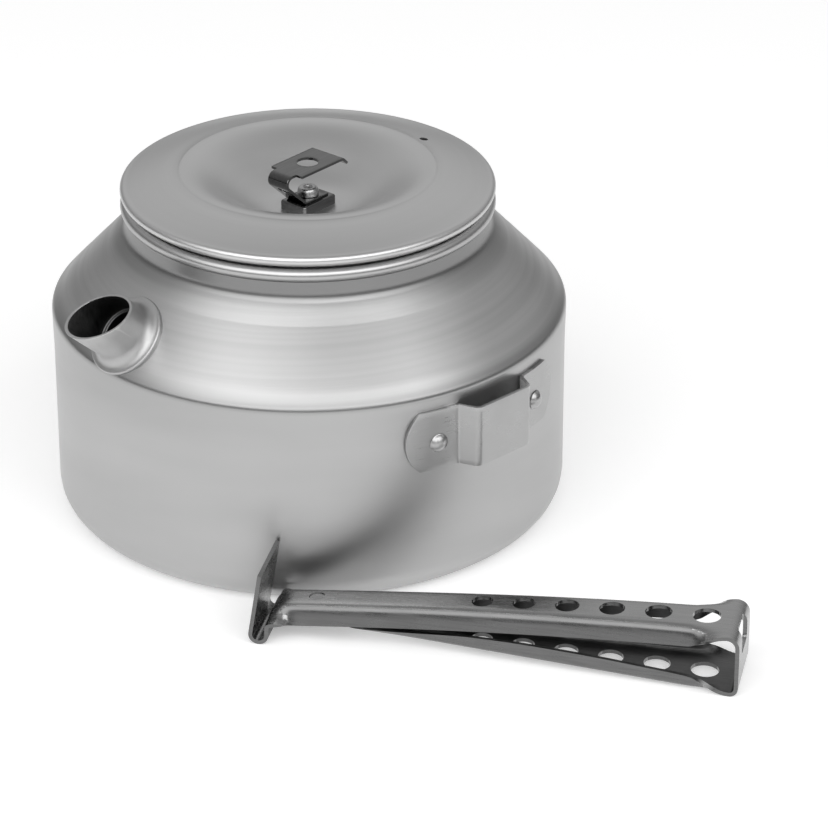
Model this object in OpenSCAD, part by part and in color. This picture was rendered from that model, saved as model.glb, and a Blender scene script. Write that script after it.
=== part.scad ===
// Camping kettle with a lift-off lid and a detachable sheet-metal handle.
// Millimetres, +Z up. The origin is the middle of the flat base, on the surface it stands on.
// An azimuth of 0 points along -Y and grows towards +X.

/* [Body] */
// Outer diameter of the body
body_d = 180; // [150:1:220]
// Height of the straight wall, from the base to the shoulder edge
wall_h = 74.5; // [70:0.5:110]
// Outer radius of the corner between base and wall
base_corner = 9.6; // [5:0.2:14]
// Thickness of the aluminium sheet
sheet_t = 1.1; // [0.8:0.1:1.6]
// Outer radius of the neck
neck_r = 63.3; // [50:0.1:66]
// Angle of the shoulder from the vertical
shoulder_deg = 43.2; // [38:0.2:50]
// Height of the neck, from the shoulder to the top of its rolled bead
neck_h = 10.6; // [8:0.1:16]
// Radius of the rolled bead round the neck
bead_r = 2.45; // [2:0.05:3.2]
// How far the bead stands out from the neck
bead_out = 1.75; // [1.4:0.05:1.9]

/* [Spout] */
// Azimuth of the spout
spout_az = -48.3; // [-80:0.1:-30]
// Distance from the kettle axis to where the spout axis leaves the shoulder
spout_seat_r = 80.6; // [76:0.1:82]
// Length from the shoulder to the middle of the mouth, along the spout axis
spout_len = 15.7; // [13:0.1:22]
// Inner radius of the mouth
spout_bore_r = 9.9; // [8:0.1:10.5]
// Thickness of the spout's sheet
spout_t = 0.95; // [0.7:0.05:1.3]
// Radius of the rolled foot that seats on the shoulder
spout_foot_r = 14.5; // [13.5:0.1:16]
// Radius of the hole through the shoulder
spout_hole_r = 9.1; // [7:0.1:9.2]
// Tilt of the mouth from square to the spout axis
mouth_tilt = 29.5; // [15:0.5:35]

/* [Bracket] */
// Azimuth of the bracket
bracket_az = 44.1; // [30:0.1:60]
// Height of the bracket strap
strap_h = 21.8; // [16:0.2:26]
// Height of the middle of the strap above the base
strap_z = 58.4; // [50:0.1:60]
// Height of the rivets above the base
rivet_z = 57.2; // [52:0.1:62]
// Thickness of the strap
strap_t = 1.3; // [1:0.05:1.8]
// Length of the strap across its two ears, along the wall
strap_len = 71; // [64:0.5:80]
// Width of the flat plate over the pocket
plate_w = 24; // [22:0.2:28]
// Free depth of the pocket behind the plate
pocket_depth = 5.6; // [4.2:0.1:7]
// Distance along the wall between the two rivets
rivet_pitch = 46.5; // [45:0.5:56]
// Diameter of a rivet shank
rivet_d = 4; // [3:0.1:5]
// Diameter of a rivet's domed head
rivet_head_d = 6.8; // [6:0.1:8]

/* [Lid] */
// Radius of the lid over its curled rim
lid_r = 65; // [52:0.1:68]
// Radius of the curl round the rim
curl_r = 1.85; // [1.4:0.05:2.4]
// Rise of the lid's top from its curl to the crease round the dish
lid_rise = 4.3; // [3:0.1:8]
// Radius of the crease round the dish
crease_r = 44.6; // [36:0.1:48]
// Depth of the dish below the crease
dish_depth = 14.6; // [10:0.1:18]
// Depth of the skirt that drops into the neck
skirt_h = 8.5; // [5:0.1:10]
// Diameter of the steam hole
vent_d = 3; // [2:0.1:5]

/* [Knob] */
// Direction of the knob, from +X towards +Y
knob_deg = 49.6; // [0:0.2:180]
// Length of the knob's top plate
knob_len = 21.3; // [18:0.1:26]
// Width of the knob's top plate
knob_w = 14.3; // [12:0.1:18]
// Height of the knob's top above the floor of the dish
knob_h = 16.4; // [14:0.1:20]
// Thickness of the knob's stainless sheet
knob_t = 0.9; // [0.7:0.05:1.2]
// Width of the knob's folded web
web_w = 8.8; // [7:0.1:11]
// Diameter of the hole in the knob's top plate
knob_hole_d = 7.7; // [5:0.1:9]
// Height of the knob's base above the floor of the dish
base_h = 3.4; // [2.6:0.1:4.5]
// Length of the knob's base
base_len = 16.2; // [14:0.1:18]
// Width of the knob's base
base_w = 11.6; // [10:0.1:13]
// Diameter of the knob's rivet shank
knob_rivet_d = 4; // [3:0.1:4.6]

/* [Handle] */
// Direction in which the handle lies, from +X towards +Y
handle_deg = -12.2; // [-30:0.1:0]
// Place of the hook end of the handle to the right of the kettle axis
handle_x = -15.9; // [-30:0.1:10]
// Distance of the hook end in front of the kettle axis
handle_front = 101.7; // [101.7:0.1:130]
// Length of the handle
handle_len = 164.1; // [150:0.1:190]
// Thickness of the handle's stainless sheet
handle_t = 1.35; // [1.1:0.05:1.6]
// Width of the hook and its tongue
hook_w = 25; // [22:0.2:25.4]
// Height of the tongue above the floor
tongue_h = 25.8; // [22:0.2:28]
// Inner width of the hook's trough
trough_w = 4.2; // [3:0.1:5]
// Height of the upper limb above the floor, at its hook end
limb_z0 = 12.4; // [11:0.1:15]
// Height of the upper limb above the floor, at the far end
limb_z1 = 22.2; // [18:0.1:26]
// Width of the upper limb at its hook end
limb_w0 = 12.8; // [11.8:0.1:14]
// Width of the upper limb before the far end
limb_w1 = 16.8; // [16.2:0.1:20]
// Width of the flat far end
end_w = 25.4; // [24.6:0.1:34]
// Depth of the upper limb's flanges
flange_h = 7.7; // [5:0.1:8]
// Length of the lower limb
lower_len = 128.6; // [100:0.1:131]
// Width of the lower limb half-way along the handle
lower_w_mid = 15; // [13:0.1:16]
// Width of the lower limb before the far end
lower_w_end = 23.5; // [20:0.1:24]
// Height of the lower limb's flanges
lower_flange_h = 6; // [4:0.1:6.4]
// Height of the lower limb's tip above the floor
tip_lift = 4.3; // [3:0.1:5]
// Diameter of the smallest of the cooling holes
hole_d0 = 7.1; // [5:0.1:7.4]
// Diameter of the largest of the cooling holes
hole_d1 = 9.4; // [8:0.1:10]
// Number of cooling holes in each limb
hole_n = 6; // [2:1:6]
// Distance from the far end to the middle of the nearest cooling hole
hole_back = 12.6; // [11:0.1:16]
// Width of the hanging slot across the far end
slot_w = 12; // [8:0.2:16]

/* [Hidden] */
$fn = 96;

// Colours of the aluminium and of the stainless steel
alu = [0.74, 0.74, 0.74];
alu_lid = [0.68, 0.68, 0.68];
steel = [0.55, 0.55, 0.56];

// Clearances: between parts that only touch, and between parts that move apart
fit = 0.03;
clear = 0.3;

// A station is [x, z, direction] on one face of a bent sheet. The sheet lies to the right of it.
function arc_stations(c, r, a0, a1, n, turn) = [
    for (i = [0:n])
        let (a = a0 + (a1 - a0) * i / n)
            [c[0] + r * cos(a), c[1] + r * sin(a), a + 90 * turn]
];
function side_point(s, d) = [s[0] + d * sin(s[2]), s[1] - d * cos(s[2])];
function outline(st, t) = concat(
    [for (s = st) side_point(s, 0)],
    [for (i = [len(st) - 1:-1:0]) side_point(st[i], t)]
);
// A corner between two straight runs, as the stations of an arc of radius r on the station face
function corner(p, d0, d1, r, n = 6) =
    let (turn = d1 > d0 ? 1 : -1)
        let (back = r * tan(abs(d1 - d0) / 2))
            let (start = [p[0] - back * cos(d0), p[1] - back * sin(d0)])
                let (c = [start[0] - turn * r * sin(d0), start[1] + turn * r * cos(d0)])
                    arc_stations(c, r, d0 - 90 * turn, d1 - 90 * turn, n, turn);
function heading(a, b) = atan2(b[1] - a[1], b[0] - a[0]);
function lerp(a, b, f) = a + (b - a) * f;

// Body: outer face from the base centre up to the neck, then the rolled bead
body_r = body_d / 2;
shoulder_edge = [body_r, wall_h];
shoulder_top = [
    neck_r,
    wall_h + (body_r - neck_r) / tan(shoulder_deg)
];
neck_top = shoulder_top[1] + neck_h;
neck_in = neck_r - sheet_t;
bead_c = [neck_r + bead_out - bead_r, neck_top - bead_r];
edge_round = 4;
neck_round = 1.6;
shoulder_dir = 90 + shoulder_deg;
shoulder_lean = 90 - shoulder_deg;
body_outer = concat(
    [[0, 0, 0]],
    corner([body_r, 0], 0, 90, base_corner, 10),
    corner(shoulder_edge, 90, shoulder_dir, edge_round, 6),
    corner(shoulder_top, shoulder_dir, 90, neck_round, 5)
);
// The bead is rolled tight: its round runs from the neck's outer face over the top to the inner face
bead_a0 = -acos((neck_r - bead_c[0]) / bead_r);
bead_a1 = acos((neck_in - bead_c[0]) / bead_r);
bead_arc = [for (i = [0:12]) let (a = lerp(bead_a0, bead_a1, i / 12)) bead_c + bead_r * [cos(a), sin(a)]];
module body_section() {
    polygon(concat(
        [for (s = body_outer) side_point(s, 0)],
        bead_arc,
        [for (i = [len(body_outer) - 1:-1:0]) side_point(body_outer[i], -sheet_t)]
    ));
}
// The solid space inside the wall and the shoulder, with its edge left sharp. It is wider by the fit, so
// that what is shaped to it only touches the body.
module body_filled() {
    cylinder(r = body_r + fit, h = wall_h, $fn = 180);
    translate([0, 0, wall_h])
        cylinder(r1 = body_r + fit, r2 = neck_r + fit, h = shoulder_top[1] - wall_h, $fn = 180);
}

// Spout frame: Z along the spout axis, outwards from the shoulder face
spout_seat_z = wall_h + (body_r - spout_seat_r) / tan(shoulder_deg);
module on_shoulder() {
    rotate([0, 0, spout_az])
        translate([0, -spout_seat_r, spout_seat_z])
            rotate([shoulder_lean, 0, 0])
                children();
}

module kettle_body() {
    color(alu) difference() {
        rotate_extrude() body_section();
        on_shoulder() translate([0, 0, -12]) cylinder(r = spout_hole_r, h = 24);
        for (side = [-1, 1]) at_rivet(side)
            translate([0, 0, -4]) cylinder(d = rivet_d + 2 * fit, h = 8);
    }
}

// Spout: a flared tube with a rolled foot on the shoulder and a sleeve through the wall
foot_t = 1.7;
foot_roll = 1;
flare_r = 4.2;
tube_r0 = spout_bore_r - 0.4;
sleeve_in = 3.2;
foot_depth = 1.7;
spout_tall = spout_len + (spout_bore_r + spout_t) * tan(mouth_tilt) + 2;
module spout_outside() {
    waist = tube_r0 + spout_t;
    rotate_extrude() polygon(concat(
        [[0, -foot_depth], [spout_foot_r, -foot_depth]],
        [for (i = [0:6]) let (a = 15 * i)
            [spout_foot_r - foot_roll * (1 - cos(a)), foot_t / 2 * (1 + sin(a))]],
        [for (i = [0:8]) let (a = 270 - i * 90 / 8)
            [waist + flare_r * 0.8 * (1 + cos(a)), foot_t * 0.7 + flare_r * (1 + sin(a))]],
        [[spout_bore_r + spout_t, spout_tall], [0, spout_tall]]
    ));
}
module spout() {
    color(alu) difference() {
        union() {
            difference() {
                spout_outside();
                on_seat_inverse() body_filled();
            }
            translate([0, 0, -sleeve_in]) cylinder(r = spout_hole_r - fit, h = sleeve_in + foot_t);
        }
        // The bore widens from the sleeve to the mouth
        translate([0, 0, -sleeve_in - 1]) cylinder(r = spout_hole_r - spout_t, h = sleeve_in + 4);
        translate([0, 0, foot_t]) cylinder(r1 = tube_r0, r2 = spout_bore_r, h = spout_tall);
        // The mouth is cut nearly level, so that it looks up when the kettle stands
        translate([0, 0, spout_len]) rotate([-mouth_tilt, 0, 0])
            translate([-40, -40, 0]) cube([80, 80, 40]);
    }
}
module on_seat_inverse() {
    rotate([-shoulder_lean, 0, 0])
        translate([0, spout_seat_r, -spout_seat_z])
            rotate([0, 0, -spout_az])
                children();
}

// Bracket: a strap with two riveted ears and a plate that stands off to make a pocket
strap_r = body_r + strap_t + fit;
plate_out = body_r + pocket_depth + strap_t;
deg_per_mm = 180 / (PI * strap_r);
ear_tip_deg = strap_len / 2 * deg_per_mm;
rivet_deg = rivet_pitch / 2 * deg_per_mm;
step_foot = plate_w / 2 + 3.3;
ear_end_r = 14;
module at_rivet(side) {
    rotate([0, 0, bracket_az + side * rivet_deg])
        translate([0, -body_r, rivet_z])
            rotate([90, 0, 0])
                children();
}
// Half of the strap's outer face, from the middle of the plate to the tip of an ear. The strap stands
// off the wall by the fit, so that its flats between the outline's points stay out of the wall.
function on_ear(deg) = [strap_r * sin(deg), -strap_r * cos(deg), deg];
step_foot_deg = asin(step_foot / strap_r);
step_low = on_ear(step_foot_deg);
step_high = [plate_w / 2 + 0.3, -plate_out];
step_dir = heading(step_high, step_low);
ear_n = 10;
half_strap = concat(
    corner(step_high, 0, step_dir, 2.2, 6),
    corner(step_low, step_dir, step_foot_deg, 0.8, 6),
    [for (i = [1:ear_n]) on_ear(lerp(step_foot_deg, ear_tip_deg + 1, i / ear_n))]
);
module strap_section() {
    left = [for (i = [len(half_strap) - 1:-1:0]) let (s = half_strap[i]) [-s[0], s[1], -s[2]]];
    all = concat(left, half_strap);
    polygon(concat(
        [for (s = all) side_point(s, 0)],
        [for (i = [len(all) - 1:-1:0]) side_point(all[i], -strap_t)]
    ));
}
module bracket() {
    tip_mid = (strap_len / 2 - ear_end_r) * deg_per_mm;
    color(steel) difference() {
        intersection() {
            rotate([0, 0, bracket_az])
                translate([0, 0, strap_z - strap_h / 2])
                    linear_extrude(height = strap_h) strap_section();
            union() {
                rotate([0, 0, bracket_az]) translate([-20, -plate_out - 5, strap_z - strap_h])
                    cube([40, 40, 2 * strap_h]);
                for (side = [-1, 1])
                    rotate([0, 0, bracket_az + side * tip_mid])
                        translate([0, -body_r + 12, strap_z]) rotate([90, 0, 0])
                            cylinder(r = ear_end_r, h = 30);
            }
        }
        for (side = [-1, 1]) at_rivet(side)
            translate([0, 0, -4]) cylinder(d = rivet_d + 2 * fit, h = 12);
    }
}

// Rivets: a domed head outside, a shank through strap and wall, and a flat head inside
module bracket_rivet(side) {
    dome_h = 2.1;
    head_r = rivet_head_d / 2;
    ball_r = (head_r * head_r + dome_h * dome_h) / (2 * dome_h);
    inner_h = 1;
    // Half a chord's sagitta keeps the flat heads off the curved sheets
    seat_out = strap_t + 2 * fit;
    seat_in = sheet_t + head_r * head_r / (2 * body_r) + fit;
    color(steel) at_rivet(side) {
        intersection() {
            translate([0, 0, seat_out + dome_h - ball_r]) sphere(r = ball_r);
            translate([0, 0, seat_out]) cylinder(r = head_r, h = dome_h + 1);
        }
        translate([0, 0, -seat_in]) cylinder(d = rivet_d, h = seat_in + seat_out + 0.2);
        translate([0, 0, -seat_in - inner_h]) cylinder(r = head_r, h = inner_h);
    }
}
module bracket_rivet_left() { bracket_rivet(-1); }
module bracket_rivet_right() { bracket_rivet(1); }

// Lid: a curl rests on the bead, the top rises to a crease, and a dish drops to the knob
curl_c = [lid_r - curl_r, neck_top + clear + 0.9 + curl_r];
lid_edge_z = curl_c[1] + curl_r;
crease_z = lid_edge_z + lid_rise;
dish_z = crease_z + 0.4 - dish_depth;
dish_flat_r = 11;
skirt_r = neck_r - sheet_t - 0.6;
dish_wall = crease_r - 1.6 - dish_flat_r;
function dish_at(r) = dish_z + dish_depth * (1 - cos(180 * (r - dish_flat_r) / dish_wall)) / 2;
// One outline in stations: the top from the centre to the rim, the curl, and back in to the skirt
rest_z = neck_top + clear;
lid_outer = concat(
    [[0, dish_z, 0]],
    [for (i = [0:14]) let (r = lerp(dish_flat_r, crease_r - 1.6, i / 14)) [r, dish_at(r), 0]],
    [[crease_r - 0.4, crease_z + 0.4, 0], [crease_r + 0.6, crease_z - 0.1, 0]],
    [for (i = [1:6]) let (f = i / 7)
        [lerp(crease_r + 0.6, curl_c[0], f), lerp(lid_edge_z, crease_z - 0.1, 1 - pow(f, 1.35)), 0]],
    arc_stations(curl_c, curl_r, 90, -80, 8, -1),
    [[skirt_r + 0.9, rest_z, -160], [skirt_r + 0.2, rest_z - 0.3, -125], [skirt_r, rest_z - 1, -90],
        [skirt_r, rest_z + 0.2 - skirt_h, -90]]
);
module lid_section() {
    polygon(outline(lid_outer, sheet_t));
}
vent_r = 47.9;
vent_deg = 33.2;
module lid() {
    color(alu_lid) difference() {
        rotate_extrude() lid_section();
        rotate([0, 0, vent_deg]) translate([vent_r, 0, dish_z]) cylinder(d = vent_d, h = 2 * dish_depth);
        translate([0, 0, dish_z - 5]) cylinder(d = knob_rivet_d + 2 * fit, h = 10);
    }
}

// Knob: a shallow base on the dish floor, and one strip folded into foot, web and top plate
fold_r = 2.85;
lip_len = 3.3;
foot_end = 5.6;
web_hole_d = 4.2;
// Place of the web's hole, as a share of the way from the foot up to the fold
web_hole_at = 0.78;
washer_t = 0.8;
washer_r = 4.6;
// The fold stands out beyond the wide part of the top plate, and turns back towards the foot. It lies
// lower than the plate by the fit, so that no two of their faces fall together.
fold_reach = 2;
fold_turn = 138;
fold_c = [-knob_len / 2 - fold_reach, knob_h - fold_r - fit];
web_high = fold_c + fold_r * [cos(90 + fold_turn), sin(90 + fold_turn)];
web_low = [-foot_end - knob_t / 3, base_h];
module on_dish() {
    translate([0, 0, dish_z]) rotate([0, 0, knob_deg]) children();
}
module knob_base() {
    color(steel) on_dish() difference() {
        translate([-base_len / 2, -base_w / 2, 0]) cube([base_len, base_w, base_h]);
        translate([-base_len / 2 + knob_t, -base_w / 2 + knob_t, -1])
            cube([base_len - 2 * knob_t, base_w - 2 * knob_t, base_h - knob_t + 1]);
        translate([0, 0, -1]) cylinder(d = knob_rivet_d + 2 * fit, h = base_h + 2);
    }
}
module knob_grip() {
    top_z = knob_h - knob_t;
    color(steel) on_dish() difference() {
        union() {
            // Foot on the base
            translate([-foot_end, -web_w / 2, base_h]) cube([2 * foot_end, web_w, knob_t]);
            // Web and fold, as one bent strip
            rotate([90, 0, 0]) translate([0, 0, -web_w / 2])
                linear_extrude(height = web_w) web_profile();
            // Wide top plate
            translate([-knob_len / 2, -knob_w / 2, top_z]) cube([knob_len, knob_w, knob_t]);
            // Finger lip, bent down at the far end
            translate([knob_len / 2, 0, knob_h]) rotate([0, 45, 0])
                translate([-knob_t * 0.42, -knob_w / 2, -knob_t]) cube([lip_len, knob_w, knob_t]);
        }
        translate([0, 0, top_z - 1]) cylinder(d = knob_hole_d, h = knob_t + 2);
        translate([0, 0, base_h - 1]) cylinder(d = knob_rivet_d + 2 * fit, h = knob_t + 2);
        // Cooling hole through the web
        hole_c = lerp(web_low, web_high, web_hole_at);
        translate([hole_c[0], 0, hole_c[1]]) rotate([0, 180 - heading(web_low, web_high), 0])
            cylinder(d = web_hole_d, h = 6 * knob_t, center = true);
    }
}
module web_profile() {
    inner_r = fold_r - knob_t;
    // The strip runs a little way into the plate, so that the two join over an area
    into = [knob_t - knob_len / 2, fold_c[1] + inner_r];
    turns = [for (i = [0:9]) 90 + fold_turn * i / 9];
    polygon(concat(
        [into, into + [0, knob_t]],
        [for (a = turns) fold_c + fold_r * [cos(a), sin(a)]],
        [web_low, web_low + [knob_t, knob_t]],
        [for (i = [9:-1:0]) fold_c + inner_r * [cos(turns[i]), sin(turns[i])]]
    ));
}
module knob_rivet() {
    head_r = 3.7;
    head_h = 2.9;
    rim_h = 0.7;
    rim_roll = 0.9;
    seat = base_h + knob_t + fit;
    // The flat head below the washer, clear of it by the fit
    under = sheet_t + washer_t + 2 * fit;
    under_h = 1;
    color(steel) on_dish() difference() {
        union() {
            translate([0, 0, seat]) rotate_extrude() polygon(concat(
                [[0, 0], [head_r, 0]],
                [for (i = [0:6]) let (a = 15 * i)
                    [head_r - rim_roll * (1 - cos(a)), rim_h + (head_h - rim_h) * sin(a)]],
                [[0, head_h]]
            ));
            translate([0, 0, -under - under_h / 2])
                cylinder(d = knob_rivet_d, h = under + under_h / 2 + seat + 0.3);
            translate([0, 0, -under - under_h]) cylinder(r = washer_r - 1.6, h = under_h);
        }
        translate([0, 0, seat + head_h - 1]) cylinder(r = 1.5, h = 2);
    }
}
module knob_washer() {
    color(steel) on_dish() difference() {
        translate([0, 0, -sheet_t - fit - washer_t]) cylinder(r = washer_r, h = washer_t);
        translate([0, 0, -sheet_t - 3]) cylinder(d = knob_rivet_d + 2 * fit, h = 4);
    }
}

// Handle: one strip, bent into hook, upper limb, far end and lower limb, on the floor
module on_floor() {
    translate([handle_x, -handle_front, 0]) rotate([0, 0, handle_deg]) children();
}
hook_in_r = trough_w / 2;
hook_c = [handle_t + hook_in_r, handle_t + hook_in_r];
tongue_lean = 9;
leg_top = 8.2;
gooseneck = 47;
leg_x = hook_c[0] + hook_in_r;
limb_x0 = leg_x + (limb_z0 - leg_top) / tan(gooseneck);
end_out_r = 4.4;
end_low_r = 3;
limb_x1 = handle_len - end_out_r;
lower_x1 = handle_len - end_low_r;
lower_x0 = lower_x1 - lower_len;
// The upper limb's top rises in a long curve that levels out at the far end
limb_curve = 1.6;
function limb_rise(f) = 1 - pow(1 - f, limb_curve);
function limb_z(x) = limb_z0 + (limb_z1 - limb_z0) * limb_rise((x - limb_x0) / (limb_x1 - limb_x0));
function limb_dir(x) = atan2(limb_z(x + 0.5) - limb_z(x - 0.5), 1);
function lower_z(x) = tip_lift * (lower_x1 - x) / lower_len;
lower_dir = 180 - atan2(tip_lift, lower_len);

// Cross-section of the strip: half a flat web of width h, a bend of fixed developed length that turns
// by the angle fold, and a flange of length l. The sheet keeps its thickness however far it is folded.
bend_r = 3;
bend_n = 3;
bend_len = (bend_r - handle_t / 2) * PI / 2;
function bend_step(turn) = bend_len / bend_n * [cos(turn), sin(turn)];
function bend_point(h, fold, j) = j == 0 ? [h, handle_t / 2]
    : bend_point(h, fold, j - 1) + bend_step(fold * (j - 0.5) / bend_n);
function half_middle(h, fold, l) = concat(
    [for (j = [0:bend_n]) concat(bend_point(h, fold, j), [fold * j / bend_n])],
    [concat(bend_point(h, fold, bend_n) + l * [cos(fold), sin(fold)], [fold])]
);
function half_face(h, fold, l, d) = [
    for (p = half_middle(h, fold, l)) [p[0] + d * sin(p[2]), p[1] - d * cos(p[2])]
];
function section(h, fold, l) =
    let (o = half_face(h, fold, l, handle_t / 2), n = half_face(h, fold, l, -handle_t / 2))
        let (m = len(o) - 1)
            concat(
                [for (i = [m:-1:0]) [-o[i][0], o[i][1]]],
                o,
                [for (i = [m:-1:0]) n[i]],
                [for (i = [0:m]) [-n[i][0], n[i][1]]]
            );
// A ring is the section set square to the path at a station: [x, z, direction, h, fold, l]
function ring(s) = [
    for (p = section(s[3], s[4], s[5])) [s[0] + p[1] * sin(s[2]), p[0], s[1] - p[1] * cos(s[2])]
];
module swept_strip(rings) {
    n = len(rings);
    m = len(rings[0]);
    polyhedron(
        points = [for (r = rings) each r],
        faces = concat(
            // Each end is closed in strips from the outer face to the inner face
            [for (j = [0:m / 2 - 2]) each [[j, m - 2 - j, j + 1], [j, m - 1 - j, m - 2 - j]]],
            [for (i = [0:n - 2]) for (j = [0:m - 1]) let (k = (j + 1) % m) each [
                [i * m + j, (i + 1) * m + k, (i + 1) * m + j],
                [i * m + j, i * m + k, (i + 1) * m + k]
            ]],
            [for (j = [0:m / 2 - 2]) let (e = (n - 1) * m) each [
                [e + j, e + j + 1, e + m - 2 - j], [e + j, e + m - 2 - j, e + m - 1 - j]
            ]]
        ),
        convexity = 8
    );
}

// Web and flange of a flat stretch of width w, and of a folded channel of width w and depth f
web_hook = limb_w0 / 2 - bend_r;
web_end = 7;
function flat(s, web, w) = concat(s, [web, 0, w / 2 - bend_len - web]);
function folded(s, w, f) = concat(s, [w / 2 - bend_r, 90, f - bend_r]);
flare = 17;
function limb_w(x) = lookup(x, [
    [limb_x0 + 8, limb_w0], [handle_len * 0.3, limb_w0 + 0.4], [handle_len / 2, lerp(limb_w0, limb_w1, 0.4)],
    [handle_len - flare, limb_w1]
]);
function lower_w(x) = lookup(x, [
    [handle_len * 0.36, lower_w_mid - 3], [handle_len / 2, lower_w_mid], [handle_len - flare, lower_w_end]
]);
function part_folded(s, web, fold, l) = concat(s, [web, fold, l]);
hook_stations = [
    for (s = concat(
        [[hook_c[0] - hook_in_r * cos(tongue_lean) + (tongue_h - hook_c[1]) * tan(tongue_lean), tongue_h,
            -90 - tongue_lean]],
        [for (i = [0:6]) let (a = 180 - tongue_lean + (180 + tongue_lean) * i / 6)
            [hook_c[0] + hook_in_r * cos(a), hook_c[1] + hook_in_r * sin(a), a - 270]],
        [[leg_x, leg_top - 1, 90]]
    )) flat(s, web_hook, hook_w)
];
l_hook = hook_w / 2 - bend_len - web_hook;
l_limb = flange_h - bend_r;
neck_stations = [
    part_folded([leg_x + 0.35, leg_top + 0.4, 68], web_hook, 10, l_hook),
    part_folded([limb_x0 - 1.6, limb_z0 - 1.7, gooseneck], web_hook, 33, lerp(l_hook, l_limb, 0.3)),
    part_folded([limb_x0 + 0.5, limb_z0 + 0.05, 27], web_hook, 60, lerp(l_hook, l_limb, 0.6)),
    part_folded([limb_x0 + 3, limb_z(limb_x0 + 3), limb_dir(limb_x0 + 3)], web_hook, 82, l_limb)
];
limb_stations = [
    for (x = [limb_x0 + 8, handle_len * 0.3, handle_len * 0.42, handle_len * 0.55, handle_len * 0.7,
        handle_len - flare])
        folded([x, limb_z(x), limb_dir(x)], limb_w(x), flange_h - 0.6 * (x - limb_x0) / handle_len)
];
l_end = end_w / 2 - bend_len - web_end;
flare_stations = [
    for (f = [[0.92, 80, 0.3], [0.76, 60, 0.6], [0.6, 30, 0.85], [0.46, 8, 0.97]])
        let (x = handle_len - flare * f[0])
        part_folded([x, limb_z(x), limb_dir(x)], lerp(limb_w1 / 2 - bend_r, web_end, f[2]), f[1],
            lerp(l_limb - 0.6, l_end, f[2]))
];
end_stations = [
    for (s = concat(
        corner([handle_len, limb_z1], 0, -90, end_out_r, 4),
        corner([handle_len, 0], -90, -180, end_low_r, 3)
    )) flat(s, web_end, end_w)
];
lower_web = lower_w_end / 2 - bend_r;
lower_stations = concat(
    [for (f = [[0.5, 20, 0.2], [0.68, 48, 0.55], [0.86, 75, 0.8]]) let (x = handle_len - flare * f[0])
        part_folded([x, lower_z(x), lower_dir], lerp(web_end, lower_web, f[2]), f[1],
            lerp(l_end, lower_flange_h - bend_r - 1, f[2]))],
    [for (s = [[handle_len - flare, -1], [handle_len * 0.7, 0], [handle_len * 0.55, 0],
        [handle_len * 0.44, -0.8], [handle_len * 0.36, -2.4]])
        folded([s[0], lower_z(s[0]), lower_dir], lower_w(s[0]), lower_flange_h + s[1])],
    [for (s = [[14, 1.9, 55, 0.7], [7, 1.5, 45, 0.5], [2, 1.2, 35, 0.4], [0, 0.2, 30, 0.3]])
        part_folded([lower_x0 + s[0], lower_z(lower_x0 + s[0]), lower_dir], s[1], s[2], s[3])]
);

// Cooling holes through both limbs: wider and further apart towards the far end
hole_gap = 15.9;
hole_gap_step = 0.49;
function hole_x(i) = let (k = hole_n - 1 - i)
    handle_len - hole_back - k * hole_gap + hole_gap_step * k * (k - 1) / 2;
function hole_d(i) = lerp(hole_d0, hole_d1, i / (hole_n - 1));
slot_drop = 10;
module handle() {
    color(steel) on_floor() difference() {
        swept_strip([for (s = concat(hook_stations, neck_stations, limb_stations, flare_stations,
            end_stations, lower_stations)) ring(s)]);
        for (i = [0:hole_n - 1])
            translate([hole_x(i), 0, -1]) cylinder(d = hole_d(i), h = limb_z1 + 3, $fn = 48);
        // Hanging slot, from the upper bend down the far end
        translate([handle_len - handle_t, -slot_w / 2, limb_z1 - slot_drop])
            cube([handle_t + 2, slot_w, slot_drop + 4]);
    }
}

kettle_body();
on_shoulder() spout();
bracket();
bracket_rivet_left();
bracket_rivet_right();
lid();
knob_base();
knob_grip();
knob_rivet();
knob_washer();
handle();
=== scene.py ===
import math

import bpy
from mathutils import Matrix, Vector


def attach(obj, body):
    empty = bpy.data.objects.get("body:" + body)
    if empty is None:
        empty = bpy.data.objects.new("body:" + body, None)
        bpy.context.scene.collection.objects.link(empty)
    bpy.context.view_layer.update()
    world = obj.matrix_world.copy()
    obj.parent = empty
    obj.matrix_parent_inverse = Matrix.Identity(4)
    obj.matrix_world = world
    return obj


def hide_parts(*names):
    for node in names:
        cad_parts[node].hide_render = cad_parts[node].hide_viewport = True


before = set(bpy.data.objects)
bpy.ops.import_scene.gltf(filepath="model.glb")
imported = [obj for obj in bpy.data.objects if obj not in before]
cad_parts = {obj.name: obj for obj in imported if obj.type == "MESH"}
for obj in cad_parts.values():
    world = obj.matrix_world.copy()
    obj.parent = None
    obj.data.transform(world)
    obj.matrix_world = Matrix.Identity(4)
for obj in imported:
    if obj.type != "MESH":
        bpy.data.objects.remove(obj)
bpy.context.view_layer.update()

# Camera: a long lens in front of the kettle, looking down at about 27 degrees as the photograph does.
bpy.ops.object.camera_add(location=(0.03667, -1.21195, 0.64919), rotation=(math.radians(62.88), 0, 0))
camera = bpy.context.object
camera.name = "photo_camera"
camera.data.sensor_width = 36
camera.data.lens = 166.2
bpy.context.scene.camera = camera
bpy.context.scene.view_settings.view_transform = "Standard"

# Stage: a pale floor that shows white to the camera and in the metal, but keeps the kettle's soft shadow.
# The room above it is plain: paler in front and behind than at the sides, the horizon and overhead.
def feed(tree, socket, value):
    """Links another node's output into the socket, or sets the socket to a plain value."""
    if isinstance(value, bpy.types.NodeSocket):
        tree.links.new(value, socket)
    else:
        socket.default_value = value


def maths(tree, operation, *inputs):
    """The result of a maths node on its inputs."""
    node = tree.nodes.new("ShaderNodeMath")
    node.operation = operation
    for socket, value in zip(node.inputs, inputs):
        feed(tree, socket, value)
    return node.outputs[0]


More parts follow.
